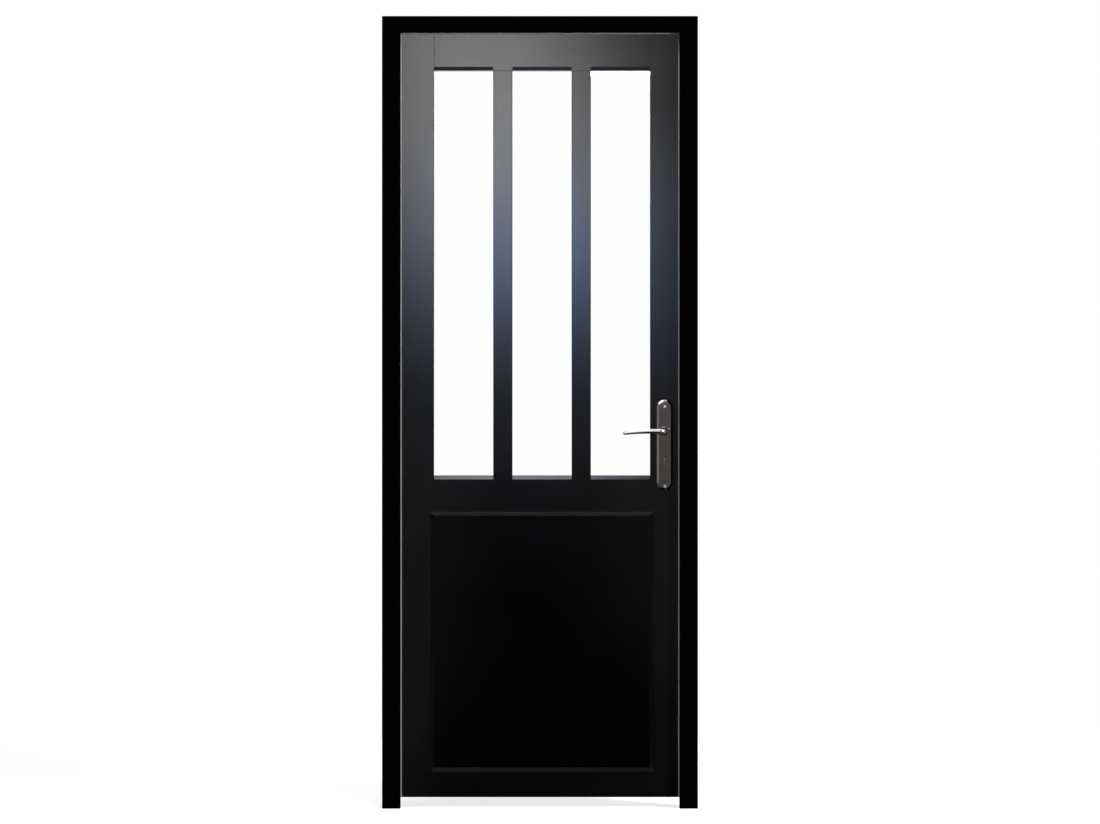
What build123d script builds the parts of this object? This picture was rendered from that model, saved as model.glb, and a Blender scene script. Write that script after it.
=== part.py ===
from build123d import *
from math import cos, radians, sin
import os

# Atelier door: a rebated frame, a leaf with three tall panes over a flat panel, and its lock.
# X runs from the hinges to the lock, Y from the side that is pushed to the far side, Z up.
# The origin is on the leaf's middle plane, midway between the jambs, at the foot of the frame.

# Frame
frame_front = 52.0
stop_face = 48.5
head_stop_face = 42.5
rebate_wall = 29.0
frame_arris = 1.5

# Leaf
leaf_width = 773.0
leaf_height = 2040.0
leaf_thickness = 40.0
floor_gap = 28.0
edge_gap = 3.0
stop_gap = 3.0
leaf_arris = 1.5

# Joinery of the leaf
hinge_stile_width = 105.0
lock_stile_width = 94.0
top_rail_height = 110.5
middle_rail_height = 107.0
bottom_rail_height = 78.0
lower_panel_height = 669.5
glazing_bar_width = 51.0
panel_bevel = 10.5
sight_arris = 1.5
rail_slope_height = 10.5
rail_slope_depth = 0.9
tenon_thickness = 13.0
tenon_length = 34.0
tenon_shoulder = 20.0
bar_tenon_length = 22.0
bar_tenon_width = 18.0
mortise_play = 0.5
joint_line = 1.0

# Glass, beads and lower panel
glass_thickness = 4.0
glass_play = 2.0
glass_rebate = 12.0
bead_bevel = 8.0
panel_thickness = 12.0
panel_groove = 10.0
panel_play = 2.0

# Seals
seal_groove_inset = 33.5
seal_groove_width = 3.5
seal_groove_depth = 5.0
seal_base = 1.6
seal_lip = 3.0
seal_slope = 2.5
seal_back = 2.5
seal_clearance = 0.3

# Hinges
hinge_height = 110.0
hinge_end_distance = 200.0
hinge_plate = 2.5
hinge_plate_depth = 30.0
hinge_axis_back = 7.0
knuckle_radius = 6.5
hinge_pin_radius = 4.0
hinge_running_gap = 0.05
hinge_washer = 1.0
knuckle_cap = 5.0
hinge_screw_spread = 38.0
hinge_screw_stagger = 5.0

# Wood screws: shank radius, head radius and length
hinge_screw = (2.2, 4.2, 24.0)
lock_screw = (1.8, 3.6, 22.0)
plate_screw = (1.75, 3.4, 22.0)
corner_screw = (2.5, 4.8, 70.0)
screw_point = 4.0
screw_head_sink = 0.2
screw_play = 0.05

# Fixing holes through the jambs, and how far the outer ones are from the floor and the top
fixing_hole_radius = 3.25
fixing_sink_radius = 6.5
fixing_foot_distance = 140.0
fixing_head_distance = 112.0

# Handle set
backset = 55.0
spindle_side = 7.0
spindle_fit = 0.05
plate_width = 42.0
plate_height = 240.0
plate_thickness = 7.0
plate_bevel_width = 5.0
plate_bevel_depth = 4.0
plate_centre_drop = 36.5
plate_screw_top_inset = 17.5
plate_screw_foot_inset = 10.5
boss_radius = 12.5
boss_height = 4.0
boss_round = 1.5
bush_wall = 1.5
bush_depth = 6.0
neck_radius = 7.5
neck_fit = 0.05
lever_reach = 110.0
lever_standoff = 47.0
lever_bend = 13.0
lever_tip_height = 8.5
lever_tip_depth = 10.0
lever_droop = 6.0
lever_tip_round = 3.0
grub_radius = 2.0
grub_length = 4.0

# Key
key_drop = 72.0
key_head_radius = 4.5
key_slot_width = 3.2
key_slot_length = 20.0
key_passage_play = 0.6

# Lock
case_depth = 74.0
case_height = 150.0
case_thickness = 15.0
case_wall = 1.5
case_above_rail = 2.5
case_below_spindle = 115.0
case_play = 0.5
faceplate_width = 20.0
faceplate_height = 235.0
faceplate_thickness = 3.0
faceplate_screw_inset = 9.0
follower_radius = 11.0
follower_arm_reach = 19.0
follower_arm_width = 5.0
follower_arm_thickness = 4.0
follower_play = 0.6
follower_hub_thickness = 11.0
latch_throw = 12.0
latch_thickness = 11.0
latch_height = 24.0
latch_above_spindle = 4.0
latch_body = 20.0
latch_bar_height = 6.0
latch_leg = 4.0
bolt_throw = 14.0
bolt_thickness = 11.0
bolt_height = 22.0
bolt_body = 34.0
bolt_tail_length = 30.0
bolt_tail_height = 9.0
bolt_tail_thickness = 4.0
bolt_above_key = 8.0
bolt_notch_width = 8.0
bolt_notch_depth = 4.0
bolt_play = 0.4
tumbler_width = 27.0
tumbler_thickness = 2.0
tumbler_play = 2.0

# Strike plate
strike_width = 24.0
strike_height = 180.0
strike_thickness = 2.0
strike_screw_inset = 12.0
strike_play = 1.5
pocket_play = 2.0

# Places worked out from the sizes above
cut_over = 1.0
leaf_half = leaf_width / 2
leaf_front = -leaf_thickness / 2
leaf_back = leaf_thickness / 2
leaf_bottom = floor_gap
leaf_top = floor_gap + leaf_height
jamb_face = leaf_half + edge_gap
frame_half = jamb_face + rebate_wall
frame_width = 2 * frame_half
frame_height = leaf_top + edge_gap + rebate_wall
stop_back = leaf_front - stop_gap
hinge_sight = hinge_stile_width - leaf_half
lock_sight = leaf_half - lock_stile_width
opening_width = lock_sight - hinge_sight
opening_middle = (lock_sight + hinge_sight) / 2
panel_bottom = leaf_bottom + bottom_rail_height
panel_top = panel_bottom + lower_panel_height
pane_bottom = panel_top + middle_rail_height
pane_top = leaf_top - top_rail_height
pane_height = pane_top - pane_bottom
pane_width = (opening_width - 2 * glazing_bar_width) / 3
pane_step = pane_width + glazing_bar_width
pane_middle = (pane_bottom + pane_top) / 2
axis_x = leaf_half - backset
case_front = leaf_half - faceplate_thickness
case_bottom = pane_bottom + case_above_rail
axis_z = case_bottom + case_below_spindle
key_z = axis_z - key_drop
plate_z = axis_z - plate_centre_drop
plate_screw_heights = (
    plate_z - plate_height / 2 + plate_screw_foot_inset,
    plate_z + plate_height / 2 - plate_screw_top_inset,
)
lever_arm_length = lever_reach - lever_bend
faceplate_z = case_bottom + case_height / 2
latch_bottom = axis_z + latch_above_spindle
bolt_bottom = key_z + bolt_above_key
hinge_x = -(leaf_half + edge_gap / 2)
hinge_y = leaf_back + hinge_axis_back
hinge_heights = {
    "top": leaf_top - hinge_end_distance,
    "middle": (leaf_top + leaf_bottom) / 2,
    "bottom": leaf_bottom + hinge_end_distance,
}
fixing_heights = (
    fixing_foot_distance,
    (hinge_heights["bottom"] + hinge_heights["middle"]) / 2,
    (hinge_heights["middle"] + hinge_heights["top"]) / 2,
    frame_height - fixing_head_distance,
)
side_turn = {"top": 0, "right": 90, "bottom": 180, "left": -90}


def block(x0, x1, y0, y1, z0, z1):
    """A box between two corners."""
    centre = Pos((x0 + x1) / 2, (y0 + y1) / 2, (z0 + z1) / 2)
    return centre * Box(x1 - x0, y1 - y0, z1 - z0)


def rod(radius, length):
    """A round rod from the origin along +Z."""
    return extrude(Circle(radius), length)


def along_x(part, sense):
    """Lays a shape that runs along +Z along +X (sense 1) or -X (sense -1)."""
    return Rot(0, 90 * sense, 0) * part


def along_y(part, sense):
    """Lays a shape that runs along +Z along +Y (sense 1) or -Y (sense -1)."""
    return Rot(-90 * sense, 0, 0) * part


def wood_screw(size, play=0.0):
    """A countersunk screw, its head in the plane Z = 0 and its point down."""
    shank, head, length = size
    shank += play
    outline = Polyline(
        (0, 0),
        (head + play, 0),
        (head + play, -screw_head_sink),
        (shank, -screw_head_sink - (head + play - shank)),
        (shank, screw_point - length),
        (0, -length - play),
        close=True,
    )
    return revolve(Plane.XZ * make_face(outline), Axis.Z)


def ring_side(section, width, height, side, mitres="both", slope=(1.0, 1.0)):
    """One side of a mitred ring about the origin: the section is drawn as (depth, -inset).

    The mitre's slope is this side's width and that of the sides next to it.
    """
    own, other = slope
    upright = side in ("left", "right")
    length = height if upright else width
    reach = (width if upright else height) / 2
    bar = extrude(Plane.YZ * section, amount=length / 2, both=True)
    if mitres != "end":
        cut = Plane(origin=(-length / 2, 0, 0), z_dir=(-own, 0, -other))
        bar = split(bar, bisect_by=cut, keep=Keep.BOTTOM)
    if mitres != "start":
        cut = Plane(origin=(length / 2, 0, 0), z_dir=(own, 0, -other))
        bar = split(bar, bisect_by=cut, keep=Keep.BOTTOM)
    return Rot(0, side_turn[side], 0) * (Pos(0, 0, reach) * bar)


# Hinges

def hinge_screw_places():
    """Depth and height of a hinge plate's screws, from its middle."""
    middle = leaf_back - hinge_plate_depth / 2
    return [
        (middle - hinge_screw_stagger, -hinge_screw_spread),
        (middle + hinge_screw_stagger, 0.0),
        (middle - hinge_screw_stagger, hinge_screw_spread),
    ]


def hinge_screws(side, play=0.0):
    """The nine screws of one side: -1 in the jamb, 1 in the leaf."""
    face = hinge_x + side * edge_gap / 2
    screw = along_x(wood_screw(hinge_screw, play), -side)
    screws = []
    for height in hinge_heights.values():
        for depth, rise in hinge_screw_places():
            screws.append(Pos(face, depth, height + rise) * screw)
    return screws


def hinge_plate_box(side, height):
    """The plate of one side, let into the wood up to the gap."""
    face = hinge_x + side * edge_gap / 2
    far = face + side * hinge_plate
    return block(
        min(face, far), max(face, far),
        leaf_back - hinge_plate_depth, leaf_back,
        height - hinge_height / 2, height + hinge_height / 2,
    )


def hinge_half(side, height):
    """Plate, tongue and knuckle of one side: the jamb's knuckle is the lower one."""
    half = (hinge_height - hinge_washer) / 2
    low = height + (hinge_washer / 2 if side > 0 else -hinge_height / 2)
    face = hinge_x + side * edge_gap / 2
    far = face + side * hinge_plate
    tongue = block(min(face, far), max(face, far), leaf_back, hinge_y, low, low + half)
    knuckle = Pos(hinge_x, hinge_y, low) * rod(knuckle_radius, half)
    radius = hinge_pin_radius + (hinge_running_gap if side > 0 else 0.0)
    bore_low = low if side > 0 else low + knuckle_cap
    bore = Pos(hinge_x, hinge_y, bore_low) * rod(radius, half - knuckle_cap)
    plate = hinge_plate_box(side, height) + tongue + knuckle - bore
    screw = along_x(wood_screw(hinge_screw, screw_play), -side)
    for depth, rise in hinge_screw_places():
        plate -= Pos(face, depth, height + rise) * screw
    return plate


def hinge_pins():
    length = hinge_height - 2 * knuckle_cap - hinge_washer
    pin = chamfer(rod(hinge_pin_radius, length).edges().group_by(Axis.Z)[-1], leaf_arris / 2)
    return [
        Pos(hinge_x, hinge_y, height - hinge_height / 2 + knuckle_cap) * pin
        for height in hinge_heights.values()
    ]


def hinge_washers():
    ring = Circle(knuckle_radius) - Circle(hinge_pin_radius + hinge_running_gap)
    washer = extrude(ring, hinge_washer)
    return [Pos(hinge_x, hinge_y, h - hinge_washer / 2) * washer for h in hinge_heights.values()]


# Frame

def frame_section(stop):
    """The rebated section with the seal's groove, drawn as (depth, -inset) to the stop's edge."""
    groove_end = seal_groove_inset + seal_groove_width
    outline = Polygon(
        (-frame_front, 0),
        (leaf_back, 0),
        (leaf_back, -rebate_wall),
        (stop_back, -rebate_wall),
        (stop_back, -seal_groove_inset),
        (stop_back - seal_groove_depth, -seal_groove_inset),
        (stop_back - seal_groove_depth, -groove_end),
        (stop_back, -groove_end),
        (stop_back, -stop),
        (-frame_front, -stop),
        align=None,
    )
    return chamfer(outline.vertices().group_by(Axis.X)[0], frame_arris)


def seal_section(stop):
    """Barb, base and soft lip of the seal: the lip shows past the stop's edge."""
    base_back = stop_back + seal_base
    groove_end = seal_groove_inset + seal_groove_width
    lip_end = stop + seal_lip
    base = Polygon(
        (stop_back, -(seal_groove_inset - seal_back)),
        (base_back, -(seal_groove_inset - seal_back)),
        (base_back, -lip_end),
        (stop_back, -lip_end),
        align=None,
    )
    barb = Polygon(
        (stop_back - seal_groove_depth, -seal_groove_inset),
        (stop_back, -seal_groove_inset),
        (stop_back, -groove_end),
        (stop_back - seal_groove_depth, -groove_end),
        align=None,
    )
    crown_back = leaf_front - seal_clearance
    crown = Polygon(
        (base_back, -groove_end),
        (crown_back, -(groove_end + seal_slope)),
        (crown_back, -(lip_end - seal_slope)),
        (base_back, -lip_end),
        align=None,
    )
    return base + barb + crown


def frame_bar(section, side):
    """A jamb or the head of the frame, or its seal, in the section for its stop."""
    mitres = {"top": "both", "left": "end", "right": "start"}[side]
    stops = (head_stop_face, stop_face) if side == "top" else (stop_face, head_stop_face)
    bar = ring_side(section(stops[0]), frame_width, frame_height, side, mitres, stops)
    return Pos(0, 0, frame_height / 2) * bar


def corner_screws(play=0.0):
    """Two screws through each jamb into the end of the head."""
    screws = []
    for side in (-1, 1):
        screw = along_x(wood_screw(corner_screw, play), side)
        for depth in (-frame_front + rebate_wall / 2, 0.0):
            screws.append(Pos(side * frame_half, depth, frame_height - rebate_wall / 2) * screw)
    return screws


def fixing_holes(side):
    """Countersunk holes through the rebate wall, for the screws into the wall."""
    hole = along_x(rod(fixing_hole_radius, rebate_wall + 2 * cut_over), side)
    cone = revolve(
        Plane.XZ * Polygon(
            (0, 0), (fixing_sink_radius, 0), (0, fixing_sink_radius), align=None
        ),
        Axis.Z,
    )
    cone = along_x(cone, side)
    cuts = []
    for height in fixing_heights:
        cuts.append(Pos(side * (jamb_face - cut_over), 0, height) * hole)
        cuts.append(Pos(side * jamb_face, 0, height) * cone)
    return cuts


def strike_holes(deep):
    """The latch's and the dead bolt's openings in the strike plate, or the pockets behind."""
    play = pocket_play if deep else strike_play
    width = max(latch_thickness, bolt_thickness) / 2 + play
    latch_end = leaf_half + latch_throw + pocket_play
    bolt_end = leaf_half + bolt_throw + pocket_play
    thin = jamb_face + strike_thickness + cut_over
    start = jamb_face - cut_over
    return [
        block(start, latch_end if deep else thin, -width, width,
              latch_bottom - play, latch_bottom + latch_height + play),
        block(start, bolt_end if deep else thin, -width, width,
              bolt_bottom - play, bolt_bottom + bolt_height + play),
    ]


def strike_screws(play=0.0):
    """The two screws of the strike plate."""
    screw = along_x(wood_screw(lock_screw, play), -1)
    reach = strike_height / 2 - strike_screw_inset
    return [Pos(jamb_face, 0, faceplate_z + side * reach) * screw for side in (-1, 1)]


def strike_plate_box():
    return block(
        jamb_face, jamb_face + strike_thickness,
        -strike_width / 2, strike_width / 2,
        faceplate_z - strike_height / 2, faceplate_z + strike_height / 2,
    )


def strike_plate():
    plate = strike_plate_box()
    for cut in strike_holes(False) + strike_screws(screw_play):
        plate -= cut
    return plate


def hinge_jamb():
    jamb = frame_bar(frame_section, "left")
    cuts = fixing_holes(-1) + hinge_screws(-1, screw_play) + corner_screws(screw_play)
    cuts += [hinge_plate_box(-1, height) for height in hinge_heights.values()]
    for cut in cuts:
        jamb -= cut
    return jamb


def strike_jamb():
    jamb = frame_bar(frame_section, "right")
    cuts = fixing_holes(1) + strike_holes(True) + strike_screws(screw_play)
    for cut in cuts + corner_screws(screw_play) + [strike_plate_box()]:
        jamb -= cut
    return jamb


def head_jamb():
    head = frame_bar(frame_section, "top")
    for cut in corner_screws(screw_play):
        head -= cut
    return head


def seal(side):
    """A seal strip, cut off level with the foot of the leaf."""
    strip = frame_bar(seal_section, side)
    low = block(-frame_width, frame_width, -frame_front, leaf_back, -cut_over, leaf_bottom)
    return strip - low


# Leaf joinery

def pane_centre(index):
    """Middle of a pane: -1, 0 and 1 from the hinges to the lock."""
    return opening_middle + index * pane_step


def opening_bevel(width, height, x, z, side, size):
    """The bevel round one opening, on the near side (-1) or the far side (1)."""
    outline = Rectangle(width, height)
    wedge = extrude(outline, size + cut_over, taper=-45)
    depth = side * (leaf_thickness / 2 - size)
    return Pos(x, depth, z) * along_y(wedge, side)


def rail_slope(x, edge, side):
    """The shallow slope of a rail beside a pane: below it (-1) or above it (1)."""
    far = edge + side * rail_slope_height
    outline = Polygon(
        (leaf_front - cut_over, far),
        (leaf_front, far),
        (leaf_front + rail_slope_depth, edge),
        (leaf_front - cut_over, edge),
        align=None,
    )
    return Pos(x, 0, 0) * extrude(Plane.YZ * outline, pane_width / 2, both=True)


def glass_opening(index):
    """What a pane takes out of the bars round it: opening, rebate, near arris and slopes."""
    x = pane_centre(index)
    half = pane_width / 2
    sight = block(x - half, x + half, leaf_front - cut_over, leaf_back + cut_over,
                  pane_bottom, pane_top)
    rebate = block(x - half - glass_rebate, x + half + glass_rebate,
                   -glass_thickness / 2, leaf_back + cut_over,
                   pane_bottom - glass_rebate, pane_top + glass_rebate)
    arris = opening_bevel(pane_width, pane_height, x, pane_middle, -1, sight_arris)
    slopes = rail_slope(x, pane_bottom, -1) + rail_slope(x, pane_top, 1)
    return sight + rebate + arris + slopes


def panel_opening():
    """What the lower panel takes out of the bars round it: opening, groove and two bevels."""
    middle = (panel_bottom + panel_top) / 2
    sight = block(hinge_sight, lock_sight, leaf_front - cut_over, leaf_back + cut_over,
                  panel_bottom, panel_top)
    groove = block(hinge_sight - panel_groove, lock_sight + panel_groove,
                   -panel_thickness / 2, panel_thickness / 2,
                   panel_bottom - panel_groove, panel_top + panel_groove)
    bevels = [
        opening_bevel(opening_width, lower_panel_height, opening_middle, middle, side, panel_bevel)
        for side in (-1, 1)
    ]
    return sight + groove + bevels[0] + bevels[1]


def rail_tenon(low, high, play=0.0):
    """The two end tenons of a rail as one bar, or their mortises with the play."""
    reach = tenon_length + play
    half = tenon_thickness / 2
    return block(hinge_sight - reach, lock_sight + reach, -half, half,
                 low + tenon_shoulder, high - tenon_shoulder)


def bar_tenon(index, play=0.0):
    """The two end tenons of a glazing bar as one bar, or their mortises with the play."""
    x = opening_middle + index * pane_step / 2
    half = tenon_thickness / 2
    reach = bar_tenon_length + play
    return block(x - bar_tenon_width / 2, x + bar_tenon_width / 2, -half, half,
                 pane_bottom - reach, pane_top + reach)


rail_spans = {
    "top": (pane_top, leaf_top),
    "middle": (panel_top, pane_bottom),
    "bottom": (leaf_bottom, panel_bottom),
}


def rail(name, openings):
    """A rail between the stiles, with its tenons and its share of the openings."""
    low, high = rail_spans[name]
    bar = block(hinge_sight, lock_sight, leaf_front, leaf_back, low, high)
    bar = chamfer(bar.edges().filter_by(Axis.Z), joint_line)
    bar += rail_tenon(low, high)
    for cut in openings:
        bar -= cut
    if name != "bottom":
        for index in (-1, 1):
            bar -= bar_tenon(index, mortise_play)
    return bar


def glazing_bar(index, openings):
    """An upright bar between two panes: -1 by the hinges, 1 by the lock."""
    x = opening_middle + index * pane_step / 2
    half = glazing_bar_width / 2
    bar = block(x - half, x + half, leaf_front, leaf_back, pane_bottom, pane_top)
    bar = chamfer(bar.edges().filter_by(Axis.X), joint_line)
    bar += bar_tenon(index)
    for cut in openings:
        bar -= cut
    return bar


def stile(side, openings):
    """A full-height stile: -1 at the hinges, 1 at the lock."""
    inner = lock_sight if side > 0 else hinge_sight
    outer = side * leaf_half
    bar = block(min(inner, outer), max(inner, outer), leaf_front, leaf_back, leaf_bottom, leaf_top)
    outer_edges = bar.edges().filter_by(Axis.Z).group_by(Axis.X)[-1 if side > 0 else 0]
    bar = chamfer(outer_edges, leaf_arris)
    for cut in openings:
        bar -= cut
    for low, high in rail_spans.values():
        bar -= rail_tenon(low, high, mortise_play)
    return bar


def lower_panel():
    reach = panel_groove - panel_play
    half = panel_thickness / 2
    return block(hinge_sight - reach, lock_sight + reach, -half, half,
                 panel_bottom - panel_groove, panel_top + panel_groove - panel_play)


def pane(index):
    """A sheet of glass that stands in its rebate with play at the sides and the top."""
    half = glass_thickness / 2
    reach = pane_width / 2 + glass_rebate - glass_play
    x = pane_centre(index)
    return block(x - reach, x + reach, -half, half,
                 pane_bottom - glass_rebate, pane_top + glass_rebate - glass_play)


def bead(index, side):
    """A mitred and bevelled glazing bead on the far side of a pane."""
    section = Polygon(
        (glass_thickness / 2, 0),
        (leaf_back, 0),
        (leaf_back, -(glass_rebate - bead_bevel)),
        (leaf_back - bead_bevel, -glass_rebate),
        (glass_thickness / 2, -glass_rebate),
        align=None,
    )
    width = pane_width + 2 * glass_rebate
    height = pane_height + 2 * glass_rebate
    return Pos(pane_centre(index), 0, pane_middle) * ring_side(section, width, height, side)


# Handle set

def keyhole(play=0.0):
    """The keyhole's outline about the middle of its round head, drawn on XY with Y up."""
    head = Circle(key_head_radius + play)
    drop = key_slot_length + play
    slot = Pos(0, -drop / 2) * Rectangle(key_slot_width + 2 * play, drop)
    return head + slot


def key_passage(play=0.0):
    """The key's way through the leaf and what is in it."""
    hole = extrude(Plane.XZ * keyhole(play), leaf_thickness + plate_thickness, both=True)
    return Pos(axis_x, 0, key_z) * hole


def plate_screws(side, play=0.0):
    """The two screws of one handle plate: -1 near, 1 far."""
    screw = along_y(wood_screw(plate_screw, play), side)
    face = side * (leaf_thickness / 2 + plate_thickness)
    return [Pos(axis_x, face, height) * screw for height in plate_screw_heights]


def handle_plate():
    """The near handle plate: round ends, a bevel all round and a boss for the lever."""
    blank = extrude(SlotOverall(plate_height, plate_width, rotation=90), plate_thickness)
    top = blank.faces().sort_by(Axis.Z)[-1]
    blank = chamfer(top.edges(), plate_bevel_width, plate_bevel_depth, reference=top)
    boss = Pos(0, plate_centre_drop) * rod(boss_radius, plate_thickness + boss_height)
    boss = fillet(boss.edges().group_by(Axis.Z)[-1], boss_round)
    plate = blank + boss
    bush_hole = rod(neck_radius + neck_fit + bush_wall, plate_thickness + boss_height + cut_over)
    plate -= Pos(0, plate_centre_drop) * bush_hole
    plate = Pos(axis_x, leaf_front, plate_z) * along_y(plate, -1)
    for cut in plate_screws(-1, screw_play) + [key_passage()]:
        plate -= cut
    return plate


def lever_bush():
    """The ring in the plate's boss that the lever's neck turns in."""
    ring = Circle(neck_radius + neck_fit + bush_wall) - Circle(neck_radius + neck_fit)
    bush = extrude(ring, bush_depth)
    start = leaf_front - plate_thickness - boss_height + bush_depth
    return Pos(axis_x, start, axis_z) * along_y(bush, -1)


def lever_section(share, inset=0.0):
    """Section of the lever's arm at a share of its length, from the bend to the tip."""
    narrowing = share ** 0.8
    height = 2 * neck_radius + (lever_tip_height - 2 * neck_radius) * narrowing
    depth = 2 * neck_radius + (lever_tip_depth - 2 * neck_radius) * narrowing
    drop = lever_droop * share * share
    x = axis_x - lever_bend - share * lever_arm_length
    place = Plane(
        origin=(x, leaf_front - lever_standoff, axis_z - drop), x_dir=(0, 1, 0), z_dir=(-1, 0, 0)
    )
    return place * Ellipse(depth / 2 - inset, height / 2 - inset)


def lever_arm():
    """The tapered arm, drawn through its sections, with a rounded tip."""
    sections = [lever_section(share) for share in (0.0, 0.25, 0.5, 0.75)]
    for turn in (0, 30, 60, 90):
        back = lever_tip_round * (1 - sin(radians(turn)))
        inset = lever_tip_round * (1 - cos(radians(turn)))
        sections.append(lever_section(1 - back / lever_arm_length, inset))
    return loft(sections, ruled=True)


def lever():
    """The near lever: a round neck, a quarter bend and a tapered arm towards the hinges."""
    neck_start = leaf_front - plate_thickness
    neck_end = leaf_front - lever_standoff + lever_bend
    neck = Pos(axis_x, neck_start, axis_z) * along_y(rod(neck_radius, neck_start - neck_end), -1)
    bend_face = Plane(origin=(axis_x, neck_end, axis_z), x_dir=(1, 0, 0), z_dir=(0, -1, 0))
    pivot = Axis((axis_x - lever_bend, neck_end, axis_z), (0, 0, -1))
    bend = revolve(bend_face * Circle(neck_radius), pivot, 90)
    socket_depth = neck_start - neck_end
    socket = Rectangle(spindle_side + 2 * spindle_fit, spindle_side + 2 * spindle_fit)
    socket = Pos(axis_x, neck_start + cut_over, axis_z) * along_y(
        extrude(socket, socket_depth + cut_over), -1
    )
    grub_hole = Pos(axis_x, grub_depth(), axis_z - neck_radius - cut_over) * rod(
        grub_radius, neck_radius + cut_over
    )
    return neck + bend + lever_arm() - socket - grub_hole


def grub_depth():
    """Where along the neck the grub screw sits."""
    return leaf_front - plate_thickness - boss_height - 2 * grub_radius


def grub_screw():
    """The grub screw under the neck, hard against the spindle."""
    top = axis_z - spindle_side / 2 - spindle_fit
    return Pos(axis_x, grub_depth(), top - grub_length) * rod(grub_radius, grub_length)


def spindle():
    reach = leaf_thickness / 2 + lever_standoff - lever_bend
    half = spindle_side / 2
    return block(axis_x - half, axis_x + half, -reach, reach, axis_z - half, axis_z + half)


# Lock

def case_box(inset=0.0):
    """The lock case's outside, or its inside where the inset is its wall."""
    half = case_thickness / 2 - inset
    return block(
        case_front - case_depth + inset, case_front - inset, -half, half,
        case_bottom + inset, case_bottom + case_height - inset,
    )


def lock_passages():
    """The ways through the lock's walls for the spindle's hub and the key."""
    hub = along_y(rod(follower_radius - case_wall, leaf_thickness), 1)
    return [Pos(axis_x, -leaf_thickness / 2, axis_z) * hub, key_passage()]


def lock_front_holes():
    """The latch's and the dead bolt's ways through the case's front and the faceplate."""
    start = case_front - case_wall - cut_over
    holes = []
    for bottom, height, thickness in (
        (latch_bottom, latch_height, latch_thickness),
        (bolt_bottom, bolt_height, bolt_thickness),
    ):
        half = thickness / 2 + bolt_play
        holes.append(block(start, leaf_half + cut_over, -half, half,
                           bottom - bolt_play, bottom + height + bolt_play))
    return holes


def lock_case():
    """The tray of the lock, open on the far side."""
    tray = case_box() - case_box(case_wall)
    lid = case_thickness / 2 - case_wall
    tray -= block(case_front - case_depth, case_front, lid, case_thickness,
                  case_bottom, case_bottom + case_height)
    for cut in lock_passages() + lock_front_holes():
        tray -= cut
    return tray


def lock_cap():
    """The plate that closes the tray."""
    lid = case_thickness / 2 - case_wall
    cap = block(case_front - case_depth, case_front, lid, case_thickness / 2,
                case_bottom, case_bottom + case_height)
    for cut in lock_passages():
        cap -= cut
    return cap


def lock_tumbler():
    """The flat tumbler that stands in the case across the key's way, under the dead bolt."""
    half = tumbler_thickness / 2
    return block(axis_x - tumbler_width / 2, axis_x + tumbler_width / 2, -half, half,
                 case_bottom + case_wall, bolt_bottom - tumbler_play)


def faceplate_box():
    half = faceplate_width / 2
    return block(case_front, leaf_half, -half, half,
                 faceplate_z - faceplate_height / 2, faceplate_z + faceplate_height / 2)


def faceplate_screws(play=0.0):
    screw = along_x(wood_screw(lock_screw, play), 1)
    reach = faceplate_height / 2 - faceplate_screw_inset
    return [Pos(leaf_half, 0, faceplate_z + side * reach) * screw for side in (-1, 1)]


def lock_faceplate():
    plate = faceplate_box()
    for cut in lock_front_holes() + faceplate_screws(screw_play):
        plate -= cut
    return plate


def follower():
    """The hub on the spindle, with the arm that draws the latch back."""
    hub = along_y(rod(follower_radius, follower_hub_thickness), 1)
    hub = Pos(0, -follower_hub_thickness / 2, 0) * hub
    half = follower_arm_width / 2
    flat = follower_arm_thickness / 2
    arm = block(-half, half, -flat, flat, 0, follower_arm_reach)
    hole = spindle_side / 2 + spindle_fit
    square = block(-hole, hole, -follower_hub_thickness, follower_hub_thickness, -hole, hole)
    return Pos(axis_x, 0, axis_z) * (hub + arm - square)


def latch_bolt():
    """The sprung latch: bevelled nose, guided body, and a hooked tail over the follower's arm."""
    half = latch_thickness / 2
    nose_end = leaf_half + latch_throw
    body_start = case_front - latch_body
    top = latch_bottom + latch_height
    body = block(body_start, nose_end, -half, half, latch_bottom, top)
    slope = Polygon(
        (nose_end - latch_throw, -half),
        (nose_end + cut_over, -half),
        (nose_end + cut_over, half),
        (nose_end - cut_over, half),
        align=None,
    )
    body -= Pos(0, 0, latch_bottom - cut_over) * extrude(slope, latch_height + 2 * cut_over)
    flat = follower_arm_thickness / 2
    leg_front = axis_x - follower_arm_width / 2 - follower_play
    tail = block(leg_front - latch_leg, body_start, -flat, flat, top - latch_bar_height, top)
    leg_low = axis_z + follower_radius + follower_play
    leg = block(leg_front - latch_leg, leg_front, -flat, flat, leg_low, top)
    return body + tail + leg


def dead_bolt():
    """The bolt that the key throws, with a notch in its tail for the key's bit."""
    half = bolt_thickness / 2
    body_start = leaf_half - bolt_body
    body = block(body_start, leaf_half, -half, half, bolt_bottom, bolt_bottom + bolt_height)
    flat = bolt_tail_thickness / 2
    tail = block(body_start - bolt_tail_length, body_start, -flat, flat,
                 bolt_bottom, bolt_bottom + bolt_tail_height)
    notch = block(axis_x - bolt_notch_width / 2, axis_x + bolt_notch_width / 2,
                  -bolt_thickness, bolt_thickness, bolt_bottom - cut_over,
                  bolt_bottom + bolt_notch_depth)
    return body + tail - notch


def lock_mortise():
    """The pocket for the lock in the stile, with its faceplate let in."""
    half = case_thickness / 2 + case_play
    pocket = block(
        case_front - case_depth - case_play, leaf_half + cut_over, -half, half,
        case_bottom - case_play, case_bottom + case_height + case_play,
    )
    return [pocket, faceplate_box()]


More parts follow.
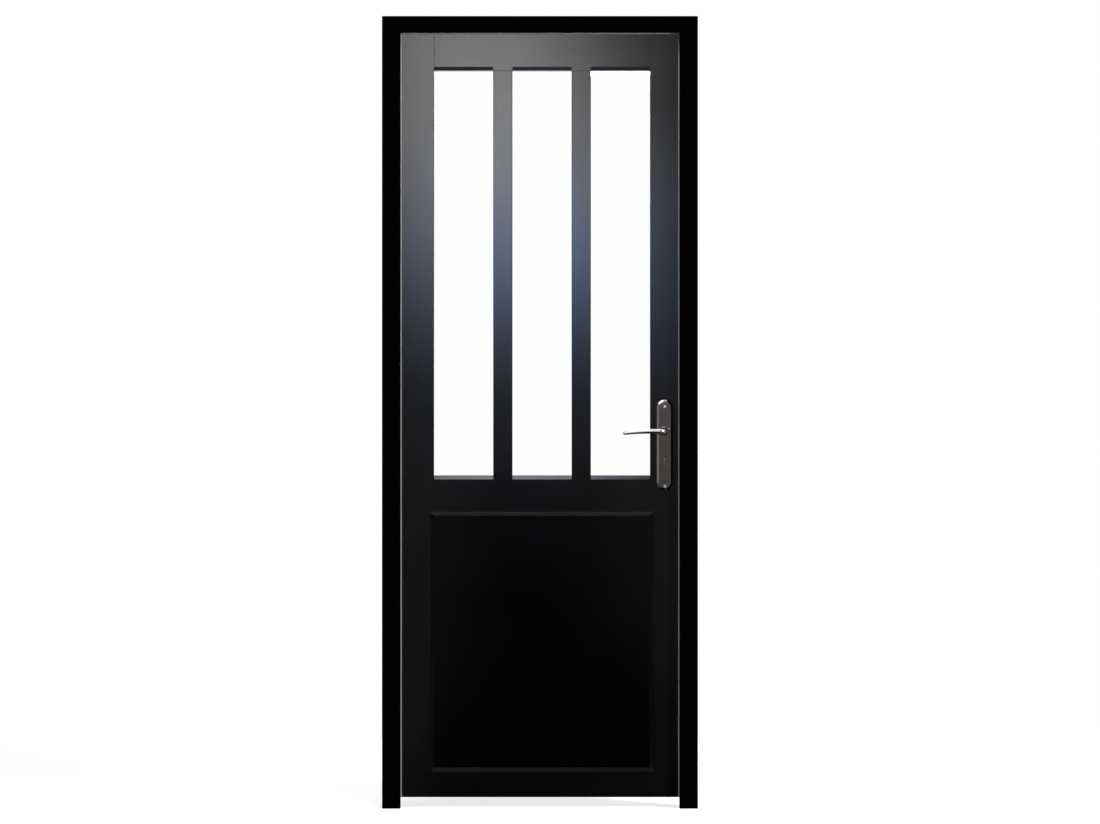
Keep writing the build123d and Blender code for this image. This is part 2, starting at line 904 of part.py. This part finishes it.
def lock_stile(openings):
    """The stile at the lock, with everything that the lock and the handles take out of it."""
    bar = stile(1, openings)
    hub = along_y(rod(follower_radius, 2 * leaf_thickness), 1)
    hub_hole = Pos(axis_x, -leaf_thickness, axis_z) * hub
    cuts = lock_mortise() + [hub_hole, key_passage(key_passage_play)]
    cuts += faceplate_screws(screw_play)
    cuts += plate_screws(-1, screw_play) + plate_screws(1, screw_play)
    for cut in cuts:
        bar -= cut
    return bar


def hinge_stile(openings):
    bar = stile(-1, openings)
    cuts = hinge_screws(1, screw_play)
    cuts += [hinge_plate_box(1, height) for height in hinge_heights.values()]
    for cut in cuts:
        bar -= cut
    return bar


def far_side(part):
    """The same piece on the far side of the leaf."""
    return mirror(part, about=Plane.XZ)


def make_parts():
    """Every piece of the door by name."""
    openings = [glass_opening(index) for index in (-1, 0, 1)] + [panel_opening()]
    parts = {
        "hinge_jamb": hinge_jamb(),
        "strike_jamb": strike_jamb(),
        "head_jamb": head_jamb(),
        "frame_corner_screws": corner_screws(),
        "hinge_side_seal": seal("left"),
        "strike_side_seal": seal("right"),
        "head_seal": seal("top"),
        "hinge_pins": hinge_pins(),
        "hinge_washers": hinge_washers(),
        "hinge_screws_in_jamb": hinge_screws(-1),
        "hinge_screws_in_leaf": hinge_screws(1),
        "strike_plate": strike_plate(),
        "strike_plate_screws": strike_screws(),
        "hinge_stile": hinge_stile(openings),
        "lock_stile": lock_stile(openings),
        "top_rail": rail("top", openings),
        "middle_rail": rail("middle", openings),
        "bottom_rail": rail("bottom", openings),
        "hinge_side_glazing_bar": glazing_bar(-1, openings),
        "lock_side_glazing_bar": glazing_bar(1, openings),
        "lower_panel": lower_panel(),
        "front_plate": handle_plate(),
        "back_plate": far_side(handle_plate()),
        "plate_screws": plate_screws(-1) + plate_screws(1),
        "front_lever_bush": lever_bush(),
        "back_lever_bush": far_side(lever_bush()),
        "front_lever": lever(),
        "back_lever": far_side(lever()),
        "lever_grub_screws": [grub_screw(), far_side(grub_screw())],
        "spindle": spindle(),
        "follower": follower(),
        "lock_case": lock_case(),
        "lock_cap": lock_cap(),
        "lock_tumbler": lock_tumbler(),
        "lock_faceplate": lock_faceplate(),
        "faceplate_screws": faceplate_screws(),
        "latch_bolt": latch_bolt(),
        "dead_bolt": dead_bolt(),
    }
    for name, height in hinge_heights.items():
        parts[f"{name}_hinge_jamb_half"] = hinge_half(-1, height)
        parts[f"{name}_hinge_leaf_half"] = hinge_half(1, height)
    for index, name in ((-1, "hinge_side"), (0, "middle"), (1, "lock_side")):
        parts[f"{name}_pane"] = pane(index)
        for side in side_turn:
            parts[f"{name}_{side}_bead"] = bead(index, side)
    return parts


def write_parts():
    os.makedirs("parts", exist_ok=True)
    for name, piece in make_parts().items():
        pieces = piece if isinstance(piece, list) else [piece]
        solids = [solid for one in pieces for solid in one.solids()]
        export_step(Compound(children=solids), f"parts/{name}.step")


write_parts()
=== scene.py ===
import bpy
import bmesh
import math
from mathutils import Matrix, Vector


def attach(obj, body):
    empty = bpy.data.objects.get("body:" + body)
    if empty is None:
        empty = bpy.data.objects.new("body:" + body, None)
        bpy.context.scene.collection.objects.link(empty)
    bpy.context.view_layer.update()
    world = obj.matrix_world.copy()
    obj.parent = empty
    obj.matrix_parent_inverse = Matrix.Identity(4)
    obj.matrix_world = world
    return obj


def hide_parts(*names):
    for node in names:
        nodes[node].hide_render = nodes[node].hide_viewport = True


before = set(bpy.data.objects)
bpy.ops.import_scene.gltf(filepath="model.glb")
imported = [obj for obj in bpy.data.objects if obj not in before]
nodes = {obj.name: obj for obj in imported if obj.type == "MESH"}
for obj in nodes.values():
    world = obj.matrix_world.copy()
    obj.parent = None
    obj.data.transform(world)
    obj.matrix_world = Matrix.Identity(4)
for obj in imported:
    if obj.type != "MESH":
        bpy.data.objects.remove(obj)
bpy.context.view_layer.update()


# Sockets as numbers: masks are written as sums and products, and each adds its Math node
class Sock:
    def __init__(self, tree, socket):
        self.tree = tree
        self.socket = socket

    def calc(self, operation, first, second):
        return self.tree.add("Math", {"operation": operation}, {0: first, 1: second})

    def __add__(self, other):
        return self.calc("ADD", self, other)

    def __sub__(self, other):
        return self.calc("SUBTRACT", self, other)

    def __mul__(self, other):
        return self.calc("MULTIPLY", self, other)

    def __rsub__(self, other):
        return self.calc("SUBTRACT", other, self)

    __radd__ = __add__
    __rmul__ = __mul__

    def power(self, exponent):
        return self.calc("POWER", self, exponent)

    def between(self, low, high):
        ends = {"Value": self, "From Min": low, "From Max": high}
        return self.tree.add("MapRange", {"interpolation_type": "SMOOTHSTEP"}, ends)


class Tree:
    def __init__(self, nodeTree):
        self.nodeTree = nodeTree
        nodeTree.nodes.clear()

    # A node from its type, its settings and then its sockets, given by name or number
    def add(self, kind, settings=None, sockets=None, out=0):
        node = self.nodeTree.nodes.new("ShaderNode" + kind)
        for key, value in (settings or {}).items():
            setattr(node, key, value)
        for key, value in (sockets or {}).items():
            if isinstance(value, Sock):
                self.nodeTree.links.new(value.socket, node.inputs[key])
            else:
                node.inputs[key].default_value = value
        return Sock(self, node.outputs[out]) if node.outputs else None

    def objectPoint(self, scale=(1.0, 1.0, 1.0), move=(0.0, 0.0, 0.0)):
        point = self.add("TexCoord", out="Object")
        return self.add("Mapping", sockets={"Vector": point, "Location": move, "Scale": scale})

    # Coordinates of a point as three sockets
    def parts(self, point):
        return [self.add("SeparateXYZ", {}, {"Vector": point}, out=axis) for axis in "XYZ"]

    def noise(self, point, size, detail, rough=0.5):
        sockets = {"Vector": point, "Scale": size, "Detail": detail, "Roughness": rough}
        return self.add("TexNoise", {}, sockets, out="Fac")

    def tint(self, dark, light, share):
        sockets = {"Factor": share, 6: (*dark, 1.0), 7: (*light, 1.0)}
        return self.add("Mix", {"data_type": "RGBA"}, sockets, out=2)

    def bump(self, height, strength, distance):
        return self.add("Bump", {}, {"Height": height, "Strength": strength, "Distance": distance})

    def mix(self, share, first, second):
        return self.add("MixShader", {}, {0: share, 1: first, 2: second})

    def surface(self, shader, kind="OutputMaterial"):
        self.add(kind, {}, {"Surface": shader})


def newMaterial(name):
    material = bpy.data.materials.new(name)
    material.use_nodes = True
    return material, Tree(material.node_tree)


# Grain of painted timber: stretched along the bar, fine across it
grainAlong = {"z": (520.0, 520.0, 9.0), "x": (9.0, 520.0, 520.0)}
paintTexture = {"cloudScale": 5.0, "cloudDetail": 4.0, "cloudEnds": (0.25, 0.75),
                "cloudRoughens": 0.06, "grainDetail": 3.0, "grainFineness": 0.6,
                "grainRoughens": 0.05, "grainShare": 0.7, "peelScale": 900.0, "peelDetail": 1.0,
                "peelShare": 0.3, "relief": 0.0006}
paintedTimber = {
    "frame": {"dark": (0.0002, 0.0002, 0.0002), "light": (0.0004, 0.0004, 0.0004),
              "roughness": 0.75, "specular": 0.005, "grain": 0.05},
    "leaf": {"dark": (0.0018, 0.0018, 0.0020), "light": (0.0028, 0.0028, 0.0031),
             "roughness": 0.13, "specular": 0.30, "grain": 0.03},
    # The panel's coat is the leaf's paint made far darker: painted shade on the recessed lower panel
    "panel": {"dark": (0.0001, 0.0001, 0.0003), "light": (0.0003, 0.0003, 0.0006),
              "roughness": 0.13, "specular": 0.24, "grain": 0.03},
}


def timberPaint(name, coat, along):
    material, tree = newMaterial(name)
    look = paintTexture
    cloud = tree.noise(tree.objectPoint(), look["cloudScale"], look["cloudDetail"])
    stretched = tree.objectPoint(grainAlong[along])
    grain = tree.noise(stretched, 1.0, look["grainDetail"], look["grainFineness"])
    peel = tree.noise(tree.objectPoint(), look["peelScale"], look["peelDetail"])
    colour = tree.tint(coat["dark"], coat["light"], cloud.between(*look["cloudEnds"]))
    clouded = coat["roughness"] + (cloud - 0.5) * look["cloudRoughens"]
    roughness = clouded + (grain - 0.5) * look["grainRoughens"]
    height = grain * look["grainShare"] + peel * look["peelShare"]
    shader = tree.add("BsdfPrincipled", {}, {
        "Base Color": colour, "Roughness": roughness, "Specular IOR Level": coat["specular"],
        "Normal": tree.bump(height, coat["grain"], look["relief"]),
    })
    tree.surface(shader)
    return material


# Steel that was brushed along one axis, with a soft cloud of handling marks
brushedAlong = {"x": (14.0, 1500.0, 1500.0), "z": (1500.0, 1500.0, 14.0)}
brushTexture = {"brushDetail": 4.0, "brushFineness": 0.65, "brushShare": 0.6,
                "brushRoughens": 0.14, "cloudScale": 45.0, "cloudDetail": 3.0, "cloudShare": 0.4,
                "cloudRoughens": 0.08, "strength": 0.08, "relief": 0.0002}
steels = {
    "plate": {"dark": (0.19, 0.170, 0.158), "light": (0.24, 0.214, 0.199), "roughness": 0.11},
    "lever": {"dark": (0.34, 0.32, 0.30), "light": (0.44, 0.415, 0.39), "roughness": 0.20},
    "screw": {"dark": (0.62, 0.60, 0.57), "light": (0.80, 0.78, 0.75), "roughness": 0.42},
    # The lock's steel is darker than plated steel would be: painted shade, so the inside of the keyhole
    # looks dark
    "lock": {"dark": (0.17, 0.165, 0.155), "light": (0.25, 0.24, 0.23), "roughness": 0.28},
    "brass": {"dark": (0.50, 0.36, 0.13), "light": (0.66, 0.49, 0.20), "roughness": 0.30},
}


def brushedSteel(name, steel, along):
    material, tree = newMaterial(name)
    look = brushTexture
    stretched = tree.objectPoint(brushedAlong[along])
    brush = tree.noise(stretched, 1.0, look["brushDetail"], look["brushFineness"])
    cloud = tree.noise(tree.objectPoint(), look["cloudScale"], look["cloudDetail"])
    share = brush * look["brushShare"] + cloud * look["cloudShare"]
    colour = tree.tint(steel["dark"], steel["light"], share)
    brushed = steel["roughness"] + (brush - 0.5) * look["brushRoughens"]
    roughness = brushed + (cloud - 0.5) * look["cloudRoughens"]
    shader = tree.add("BsdfPrincipled", {}, {
        "Base Color": colour, "Metallic": 1.0, "Roughness": roughness,
        "Normal": tree.bump(brush, look["strength"], look["relief"]),
    })
    tree.surface(shader)
    return material


# Baked coat of the hinges, and the plastic of the handle's bushes
coats = {
    "hinge": {"dark": (0.008, 0.008, 0.008), "light": (0.016, 0.016, 0.016), "roughness": 0.42},
    "bush": {"dark": (0.014, 0.014, 0.014), "light": (0.024, 0.024, 0.024), "roughness": 0.5},
}
coatTexture = {"peelScale": 1100.0, "peelDetail": 2.0, "cloudScale": 60.0, "cloudDetail": 3.0,
               "cloudRoughens": 0.12, "specular": 0.35, "strength": 0.12, "relief": 0.0003}


def blackCoat(name, coat):
    material, tree = newMaterial(name)
    look = coatTexture
    peel = tree.noise(tree.objectPoint(), look["peelScale"], look["peelDetail"])
    cloud = tree.noise(tree.objectPoint(), look["cloudScale"], look["cloudDetail"])
    shader = tree.add("BsdfPrincipled", {}, {
        "Base Color": tree.tint(coat["dark"], coat["light"], cloud),
        "Roughness": coat["roughness"] + (cloud - 0.5) * look["cloudRoughens"],
        "Specular IOR Level": look["specular"],
        "Normal": tree.bump(peel, look["strength"], look["relief"]),
    })
    tree.surface(shader)
    return material


# Clear glass: a slight wave in it, and faint traces of wiping
glass = {"dark": (0.975, 0.985, 0.98), "light": (0.992, 0.996, 0.994), "refraction": 1.45,
         "waveAlong": (1.0, 1.0, 0.35), "waveScale": 6.0, "waveDetail": 1.0,
         "wipeAlong": (3.0, 3.0, 0.8), "wipeScale": 8.0, "wipeDetail": 4.0,
         "strength": 0.02, "relief": 0.002}


def clearGlass(name):
    material, tree = newMaterial(name)
    wave = tree.noise(tree.objectPoint(glass["waveAlong"]), glass["waveScale"], glass["waveDetail"])
    wipe = tree.noise(tree.objectPoint(glass["wipeAlong"]), glass["wipeScale"], glass["wipeDetail"])
    shader = tree.add("BsdfPrincipled", {}, {
        "Base Color": tree.tint(glass["dark"], glass["light"], wipe),
        "Roughness": 0.0, "IOR": glass["refraction"], "Transmission Weight": 1.0,
        "Normal": tree.bump(wave, glass["strength"], glass["relief"]),
    })
    tree.surface(shader)
    return material


# Grey rubber of the seal
seal = {"dark": (0.26, 0.26, 0.26), "light": (0.36, 0.36, 0.355), "roughness": 0.62,
        "poreScale": 1400.0, "poreDetail": 2.0, "cloudAlong": (1.0, 1.0, 0.3),
        "cloudScale": 18.0, "cloudDetail": 3.0, "cloudRoughens": 0.1,
        "strength": 0.2, "relief": 0.0002}


def softSeal(name):
    material, tree = newMaterial(name)
    pores = tree.noise(tree.objectPoint(), seal["poreScale"], seal["poreDetail"])
    stretched = tree.objectPoint(seal["cloudAlong"])
    cloud = tree.noise(stretched, seal["cloudScale"], seal["cloudDetail"])
    shader = tree.add("BsdfPrincipled", {}, {
        "Base Color": tree.tint(seal["dark"], seal["light"], cloud),
        "Roughness": seal["roughness"] + (cloud - 0.5) * seal["cloudRoughens"],
        "Normal": tree.bump(pores, seal["strength"], seal["relief"]),
    })
    tree.surface(shader)
    return material


materials = {
    "framePaintUpright": timberPaint("framePaintUpright", paintedTimber["frame"], "z"),
    "framePaintLevel": timberPaint("framePaintLevel", paintedTimber["frame"], "x"),
    "leafPaintUpright": timberPaint("leafPaintUpright", paintedTimber["leaf"], "z"),
    "leafPaintLevel": timberPaint("leafPaintLevel", paintedTimber["leaf"], "x"),
    # The lower panel wears the darker copy of the leaf's paint, which is painted shade
    "panelShadedPaint": timberPaint("panelShadedPaint", paintedTimber["panel"], "z"),
    "plateSteel": brushedSteel("plateSteel", steels["plate"], "z"),
    "leverSteel": brushedSteel("leverSteel", steels["lever"], "x"),
    "screwSteel": brushedSteel("screwSteel", steels["screw"], "x"),
    # The lock's parts wear the darkened steel, which is painted shade for the keyhole
    "lockSteelShaded": brushedSteel("lockSteelShaded", steels["lock"], "z"),
    "washerBrass": brushedSteel("washerBrass", steels["brass"], "x"),
    "hingeCoat": blackCoat("hingeCoat", coats["hinge"]),
    "bushPlastic": blackCoat("bushPlastic", coats["bush"]),
    "clearGlass": clearGlass("clearGlass"),
    "softSeal": softSeal("softSeal"),
}

# Which finish each CAD node wears: the first word that its name holds decides, so the lower
# panel comes before "pane"
finishOfName = [
    ("lower_panel", "panelShadedPaint"), ("top_rail", "leafPaintLevel"),
    ("middle_rail", "leafPaintLevel"), ("bottom_rail", "leafPaintLevel"),
    ("top_bead", "leafPaintLevel"), ("bottom_bead", "leafPaintLevel"),
    ("head_jamb", "framePaintLevel"), ("seal", "softSeal"), ("pane", "clearGlass"),
    ("half", "hingeCoat"), ("washer", "washerBrass"), ("screws", "screwSteel"),
    ("bush", "bushPlastic"), ("front_plate", "plateSteel"), ("back_plate", "plateSteel"),
    ("lever", "leverSteel"), ("_jamb", "framePaintUpright"), ("spindle", "lockSteelShaded"),
    ("follower", "lockSteelShaded"), ("lock_case", "lockSteelShaded"), ("lock_cap", "lockSteelShaded"),
    ("faceplate", "lockSteelShaded"), ("strike_plate", "lockSteelShaded"), ("bolt", "lockSteelShaded"),
    ("pins", "lockSteelShaded"), ("tumbler", "lockSteelShaded"), ("", "leafPaintUpright"),
]

for nodeName, node in nodes.items():
    finish = next(finish for word, finish in finishOfName if word in nodeName)
    for slot in node.material_slots:
        slot.material = materials[finish]
print("finishes on", len(nodes), "CAD nodes")


# Screws with a cross recess, each in the place of its plain CAD screw
screwGroups = {
    "plate_screws": {"body": "leaf", "slot": "screw_steel", "outward": (0, "side", 0),
                     "turn": 0.5, "finish": "screwSteel"},
    "faceplate_screws": {"body": "leaf", "slot": "screw_steel", "outward": (1, 0, 0),
                         "turn": 0.2, "finish": "screwSteel"},
    "strike_plate_screws": {"body": "frame", "slot": "screw_steel", "outward": (-1, 0, 0),
                            "turn": 0.7, "finish": "screwSteel"},
    "hinge_screws_in_jamb": {"body": "frame", "slot": "screw_steel", "outward": (1, 0, 0),
                             "turn": 0.4, "finish": "screwSteel"},
    "hinge_screws_in_leaf": {"body": "leaf", "slot": "screw_steel", "outward": (-1, 0, 0),
                             "turn": 0.9, "finish": "screwSteel"},
    "frame_corner_screws": {"body": "frame", "slot": "screw_steel", "outward": ("side", 0, 0),
                            "turn": 0.3, "finish": "screwSteel"},
}
# Shares of the head's radius, but shankLength and point of the length, and tip of the shank
screwShape = {"corners": 24, "armWidth": 0.20, "armReach": 0.62, "recess": 0.55, "pitFloor": 0.55,
              "rim": 0.05, "shank": 0.50, "cone": 0.5, "shankLength": 0.72, "tip": 0.3,
              "point": 0.16, "turnPerMetre": 2.1, "weld": 1e-5}


# Boxes of a node's separate solids, found on a welded copy of its mesh
def solidBoxes(nodeName):
    mesh = bmesh.new()
    mesh.from_mesh(nodes[nodeName].data)
    bmesh.ops.remove_doubles(mesh, verts=mesh.verts, dist=screwShape["weld"])
    left = set(mesh.verts)
    boxes = []
    while left:
        found = [left.pop()]
        for vert in found:
            near = {edge.other_vert(vert) for edge in vert.link_edges} & left
            left -= near
            found.extend(near)
        low = Vector(min(vert.co[i] for vert in found) for i in range(3))
        high = Vector(max(vert.co[i] for vert in found) for i in range(3))
        boxes.append((low, high))
    mesh.free()
    return sorted(boxes, key=lambda pair: tuple(pair[0]))


# One screw, with its head's face in the plane Z = 0 and its point down
def screwMesh(mesh, radius, length, spin):
    shape = screwShape
    outer = bmesh.ops.create_circle(mesh, segments=shape["corners"], radius=radius)["verts"]
    rim = list({edge for vert in outer for edge in vert.link_edges})
    half = radius * shape["armWidth"] / 2
    reach = radius * shape["armReach"]
    corners = []
    for quarter in range(4):
        turn = Matrix.Rotation(quarter * math.pi / 2, 3, "Z")
        for point in ((half, half), (reach, half), (reach, -half)):
            corners.append(turn @ Vector((*point, 0)))
    ordered = sorted(corners, key=lambda corner: math.atan2(corner.y, corner.x))
    cross = [mesh.verts.new(corner) for corner in ordered]
    loop = [mesh.edges.new((a, b)) for a, b in zip(cross, cross[1:] + cross[:1])]
    cut = bmesh.ops.subdivide_edges(mesh, edges=loop, cuts=1)["geom_split"]
    loop = [item for item in cut if isinstance(item, bmesh.types.BMEdge)]
    inner = list({vert for edge in loop for vert in edge.verts})
    bmesh.ops.rotate(mesh, verts=inner, matrix=Matrix.Rotation(spin, 3, "Z"))
    bmesh.ops.bridge_loops(mesh, edges=rim + loop)
    sunk = bmesh.ops.extrude_edge_only(mesh, edges=loop)["geom"]
    pit = [item for item in sunk if isinstance(item, bmesh.types.BMVert)]
    bmesh.ops.scale(mesh, verts=pit, vec=(shape["pitFloor"], shape["pitFloor"], 1.0))
    bmesh.ops.translate(mesh, verts=pit, vec=(0, 0, -radius * shape["recess"]))
    bmesh.ops.contextual_create(mesh, geom=pit)
    edges = rim
    steps = ((1.0, radius * shape["rim"]), (shape["shank"], radius * shape["cone"]),
             (1.0, length * shape["shankLength"]), (shape["tip"], length * shape["point"]))
    for width, drop in steps:
        grown = bmesh.ops.extrude_edge_only(mesh, edges=edges)["geom"]
        verts = [item for item in grown if isinstance(item, bmesh.types.BMVert)]
        edges = [item for item in grown if isinstance(item, bmesh.types.BMEdge)
                 and all(vert in verts for vert in item.verts)]
        bmesh.ops.scale(mesh, verts=verts, vec=(width, width, 1.0))
        bmesh.ops.translate(mesh, verts=verts, vec=(0, 0, -drop))
    bmesh.ops.contextual_create(mesh, geom=verts)


# All screws of one CAD node as one piece; "side" points away from the middle of the door
def screwGroup(nodeName, group):
    whole = bmesh.new()
    for low, high in solidBoxes(nodeName):
        middle = (low + high) / 2
        axis = [bool(share) for share in group["outward"]].index(True)
        side = group["outward"][axis]
        side = math.copysign(1, middle[axis]) if side == "side" else side
        outward = Vector([side if i == axis else 0 for i in range(3)])
        across = (axis + 1) % 3
        radius = (high[across] - low[across]) / 2
        head = middle.copy()
        head[axis] = high[axis] if side > 0 else low[axis]
        one = bmesh.new()
        spin = group["turn"] + screwShape["turnPerMetre"] * middle.z
        screwMesh(one, radius, high[axis] - low[axis], spin)
        turn = Vector((0, 0, 1)).rotation_difference(outward).to_matrix().to_4x4()
        one.transform(Matrix.Translation(head) @ turn)
        bmesh.ops.recalc_face_normals(one, faces=one.faces)
        part = bpy.data.meshes.new("part")
        one.to_mesh(part)
        whole.from_mesh(part)
        bpy.data.meshes.remove(part)
        one.free()
    mesh = bpy.data.meshes.new(nodeName + "_cross_head")
    whole.to_mesh(mesh)
    whole.free()
    mesh.materials.append(materials[group["finish"]])
    piece = bpy.data.objects.new(nodeName + "_cross_head", mesh)
    bpy.context.scene.collection.objects.link(piece)
    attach(piece, group["body"])
    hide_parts(nodeName)


for groupName, screws in screwGroups.items():
    screwGroup(groupName, screws)
print("cross-head screws in", len(screwGroups), "groups")


# Stage: pale floor, white surround, the room that paint and steel reflect, lamps and camera
stageLook = {"floorSize": (5.0, 5.0), "floorColour": (0.82, 0.82, 0.82), "floorGlow": 0.85,
             "floorSeen": 0.60, "ambient": 0.12}
plainWhite = (1.0, 1.0, 1.0, 1.0)


def planeObject(name, size, matrix, material):
    mesh = bpy.data.meshes.new(name)
    grid = bmesh.new()
    bmesh.ops.create_grid(grid, x_segments=1, y_segments=1, size=0.5)
    bmesh.ops.scale(grid, verts=grid.verts, vec=(size[0], size[1], 1.0))
    grid.transform(matrix)
    grid.to_mesh(mesh)
    grid.free()
    mesh.materials.append(material)
    obj = bpy.data.objects.new(name, mesh)
    bpy.context.scene.collection.objects.link(obj)
    return obj


# Rays that meet the floor or the surround as the picture's background
def seenRays(tree):
    kinds = ("Camera", "Glossy", "Transmission")
    camera, glossy, through = [tree.add("LightPath", out=f"Is {kind} Ray") for kind in kinds]
    return camera + glossy + through


def paleFloor():
    material, tree = newMaterial("paleFloor")
    matt = tree.add("BsdfDiffuse", {}, {"Color": (*stageLook["floorColour"], 1.0)})
    shines = [tree.add("Emission", {}, {"Color": plainWhite, "Strength": stageLook[key]})
              for key in ("floorGlow", "floorSeen")]
    mirrored, seen = [tree.add("AddShader", {}, {0: matt, 1: shine}) for shine in shines]
    # The camera sees the fainter one, which leaves the object's shadow on the floor
    camera = tree.add("LightPath", out="Is Camera Ray")
    tree.surface(tree.mix(camera, tree.mix(seenRays(tree), matt, mirrored), seen))
    planeObject("floor", stageLook["floorSize"], Matrix.Identity(4), material)


def whiteSurround():
    world = bpy.data.worlds.new("surround")
    bpy.context.scene.world = world
    world.use_nodes = True
    tree = Tree(world.node_tree)
    dim = tree.add("Background", {}, {"Color": plainWhite, "Strength": stageLook["ambient"]})
    white = tree.add("Background", {}, {"Color": plainWhite, "Strength": 1.0})
    tree.surface(tree.mix(seenRays(tree), dim, white), "OutputWorld")


paleFloor()
whiteSurround()

# The room in front of the door, met only by paint and steel: place, size, turn and level
room = {
    "front": {"place": (0.0, -8.0, 3.0), "size": (12.0, 6.0), "axis": "X", "level": 0.22},
    "left": {"place": (-6.0, -4.1, 3.0), "size": (6.0, 7.8), "axis": "Y", "level": 0.70},
    "right": {"place": (6.0, -4.1, 3.0), "size": (6.0, 7.8), "axis": "Y", "level": 0.08},
    "ceiling": {"place": (0.0, -3.6, 6.0), "size": (12.0, 8.8), "axis": "Z", "level": 0.02},
    "skylight": {"place": (0.33, -0.92, 4.0), "size": (3.0, 0.5), "axis": "Z", "level": 3.6},
    "skylightLeft": {"place": (-2.6, -1.05, 4.0), "size": (2.8, 0.9), "axis": "Z", "level": 8.0},
    "skylightRight": {"place": (3.3, -1.05, 4.0), "size": (2.8, 0.9), "axis": "Z", "level": 8.0},
    "ground": {"place": (0.0, -4.03, 0.004), "size": (12.0, 7.94), "axis": "Z", "level": 0.22},
}
# What stands dark in the middle of the room, and the dark ground at the door's foot
darkMiddle = {"walls": ("front", "ground"), "x": -0.08, "across": (0.17, 0.44),
              "upward": (0.60, 1.00), "wider": 0.25, "widerBelow": 0.45,
              "outward": (0.08, 0.22), "level": 0.0}
wallColour = (1.0, 0.97, 0.94)
# The tall window in its front wall: bluish near its foot, and fading to the sides
window = {"place": (-0.19, -7.95, 2.55), "size": (2.6, 3.1), "level": 12.0, "blueLevel": 18.0,
          "white": (1.0, 0.995, 0.985), "blue": (0.36, 0.55, 1.0), "lean": 0.22,
          "leanFrom": -0.16, "toRight": 0.73, "toLeft": 0.94, "foot": (-1.36, -0.50),
          "head": (-0.35, 1.50), "blueMiddle": 0.2, "blueReach": 0.95, "blueHead": (-0.85, -0.30)}


def glossyOnly(name, wall, shader, material, tree):
    clear = tree.add("BsdfTransparent")
    tree.surface(tree.mix(tree.add("LightPath", out="Is Singular Ray"), shader, clear))
    turn = Matrix.Rotation(math.pi / 2 if wall["axis"] != "Z" else 0.0, 4, wall["axis"])
    matrix = Matrix.Translation(wall["place"]) @ turn
    obj = planeObject(name, wall["size"], matrix, material)
    for ray in ("camera", "diffuse", "transmission", "volume_scatter", "shadow"):
        setattr(obj, "visible_" + ray, False)


def glow(tree, colour, level):
    return tree.add("Emission", {}, {"Color": (*colour, 1.0), "Strength": level})


def wallLight(tree, name, wall):
    lit = glow(tree, wallColour, wall["level"])
    if name not in darkMiddle["walls"]:
        return lit
    x, y, z = tree.parts(tree.objectPoint())
    side = x - darkMiddle["x"]
    wider = (1.0 - z.between(0.0, darkMiddle["widerBelow"])) * darkMiddle["wider"]
    toLeft = 1.0 - (0.0 - side).between(*darkMiddle["across"])
    toRight = 1.0 - (side - wider).between(*darkMiddle["across"])
    below = 1.0 - z.between(*darkMiddle["upward"])
    away = (0.0 - y).between(*darkMiddle["outward"])
    dark = glow(tree, wallColour, darkMiddle["level"])
    return tree.mix((1.0 - toLeft * toRight * below) * away, dark, lit)


for wallName, wall in room.items():
    material, tree = newMaterial("room_" + wallName)
    glossyOnly("room_" + wallName, wall, wallLight(tree, wallName, wall), material, tree)


def roomWindow():
    material, tree = newMaterial("room_window")
    x, _, z = tree.parts(tree.objectPoint(move=[-part for part in window["place"]]))
    leaning = x + (z - window["leanFrom"]) * window["lean"]
    toRight = 1.0 - leaning.between(0.0, window["toRight"])
    toLeft = 1.0 - (0.0 - leaning).between(0.0, window["toLeft"])
    upward = z.between(*window["foot"]) * (1.0 - z.between(*window["head"]))
    side = x - window["blueMiddle"]
    blueAcross = 1.0 - (side * side).power(0.5).between(0.0, window["blueReach"])
    blueShare = (1.0 - z.between(*window["blueHead"])) * blueAcross
    white = glow(tree, window["white"], window["level"])
    blue = glow(tree, window["blue"], window["blueLevel"])
    dark = glow(tree, window["white"], room["front"]["level"])
    lit = tree.mix(toRight * toLeft * upward, dark, tree.mix(blueShare, white, blue))
    glossyOnly("room_window", {**window, "axis": "X"}, lit, material, tree)


roomWindow()

lamps = {
    "right": {"place": (3.6, -3.2, 2.3), "aim": (-0.3, 0.0, 1.2), "size": (1.0, 1.6), "watts": 240.0},
    "overhead": {"place": (-0.4, -1.2, 3.8), "aim": (0.1, 0.0, 1.1), "size": (1.6, 1.0), "watts": 50.0},
    "behind": {"place": (1.2, 3.8, 3.0), "aim": (0.0, 0.0, 1.1), "size": (2.4, 1.6), "watts": 70.0},
}
for lampName, lamp in lamps.items():
    data = bpy.data.lights.new(lampName, "AREA")
    data.shape = "RECTANGLE"
    data.size, data.size_y = lamp["size"]
    data.energy = lamp["watts"]
    obj = bpy.data.objects.new(lampName, data)
    obj.location = lamp["place"]
    toward = Vector(lamp["aim"]) - Vector(lamp["place"])
    obj.rotation_euler = toward.to_track_quat("-Z", "Y").to_euler()
    obj.visible_camera = False
    bpy.context.scene.collection.objects.link(obj)

# A straight view, in which one pixel of the photograph is 2.6525 mm at the frame's front face
photo = {"width": 1100, "middleX": 550.0, "middleY": 412.0, "doorX": 539.95, "footY": 808.2,
         "metresPerPixel": 0.0026525}
view = {"distance": 12.0, "sensor": 36.0, "depth": -0.036, "farthest": 100.0}
camera = bpy.data.cameras.new("camera")
camera.sensor_width = view["sensor"]
camera.lens = view["sensor"] * view["distance"] / (photo["width"] * photo["metresPerPixel"])
camera.clip_end = view["farthest"]
cameraObject = bpy.data.objects.new("camera", camera)
cameraObject.location = (
    (photo["middleX"] - photo["doorX"]) * photo["metresPerPixel"],
    view["depth"] - view["distance"],
    (photo["footY"] - photo["middleY"]) * photo["metresPerPixel"],
)
cameraObject.rotation_euler = (math.pi / 2, 0.0, 0.0)
bpy.context.scene.collection.objects.link(cameraObject)
bpy.context.scene.camera = cameraObject
bpy.context.scene.view_settings.view_transform = "Standard"
print("stage, lamps and camera")
